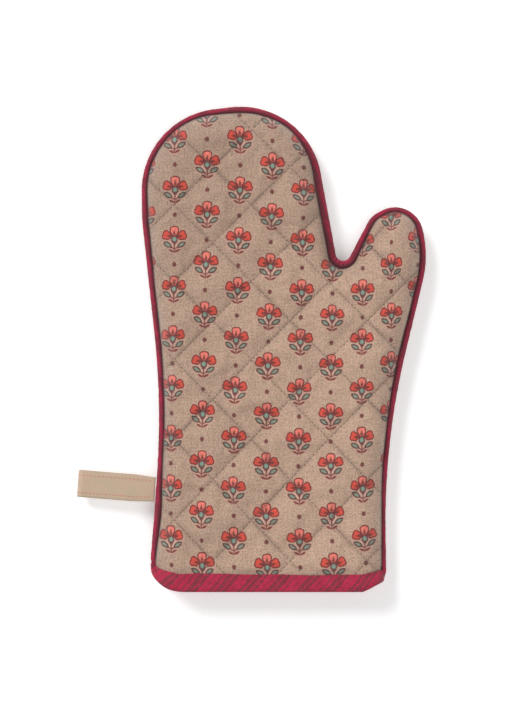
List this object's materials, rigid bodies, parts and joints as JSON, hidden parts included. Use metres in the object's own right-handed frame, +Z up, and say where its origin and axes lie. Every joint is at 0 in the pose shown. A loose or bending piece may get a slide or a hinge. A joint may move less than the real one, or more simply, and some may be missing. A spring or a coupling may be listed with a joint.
{
  "type": "oven mitt",
  "caption": "Quilted cloth oven mitt with a thumb, piped edge, bound mouth and a folded tape hanging loop, lying flat palm up.",
  "frame": {"origin": "on the surface that the mitt lies on, under the middle of its bounding box, hanging loop included", "axes": "+Z up through the palm side, +Y from the mouth to the fingertips, +X towards the thumb"},
  "size_m": [0.2288, 0.3186, 0.024],
  "materials": {
    "printed_linen": "block-printed slubby linen, matt",
    "wadding": "needled cotton wadding",
    "lining": "plain cotton lining, matt",
    "crimson_cloth": "bias-cut striped cotton, matt",
    "loop_tape": "woven cotton tape with two running stitches"
  },
  "bodies": {
    "hand": {"hand_palm_outer_cloth": "printed_linen", "hand_palm_wadding": "wadding", "hand_palm_lining": "lining", "hand_back_outer_cloth": "printed_linen", "hand_back_wadding": "wadding", "hand_back_lining": "lining", "hand_piping": "crimson_cloth", "cuff_binding": "crimson_cloth"},
    "fingers": {"fingers_palm_outer_cloth": "printed_linen", "fingers_palm_wadding": "wadding", "fingers_palm_lining": "lining", "fingers_back_outer_cloth": "printed_linen", "fingers_back_wadding": "wadding", "fingers_back_lining": "lining", "fingers_piping": "crimson_cloth"},
    "thumb": {"thumb_palm_outer_cloth": "printed_linen", "thumb_palm_wadding": "wadding", "thumb_palm_lining": "lining", "thumb_back_outer_cloth": "printed_linen", "thumb_back_wadding": "wadding", "thumb_back_lining": "lining", "thumb_piping": "crimson_cloth"},
    "loop": {"hanging_loop": "loop_tape"}
  },
  "joints": [
    {"name": "finger_fold", "type": "hinge", "parent": "hand", "child": "fingers", "pos_m": [0, 0.08277, 0.024], "axis": [1, 0, 0], "range_deg": [0, 65]},
    {"name": "thumb_pinch", "type": "hinge", "parent": "hand", "child": "thumb", "pos_m": [0.07085, 0.05538, 0.024], "axis": [0.5075, -0.8616, 0], "range_deg": [0, 55]},
    {"name": "loop_swing", "type": "hinge", "parent": "hand", "child": "loop", "pos_m": [-0.0638, -0.09225, 0.012], "axis": [0.0739, 0.9973, 0], "range_deg": [0, 110]}
  ]
}
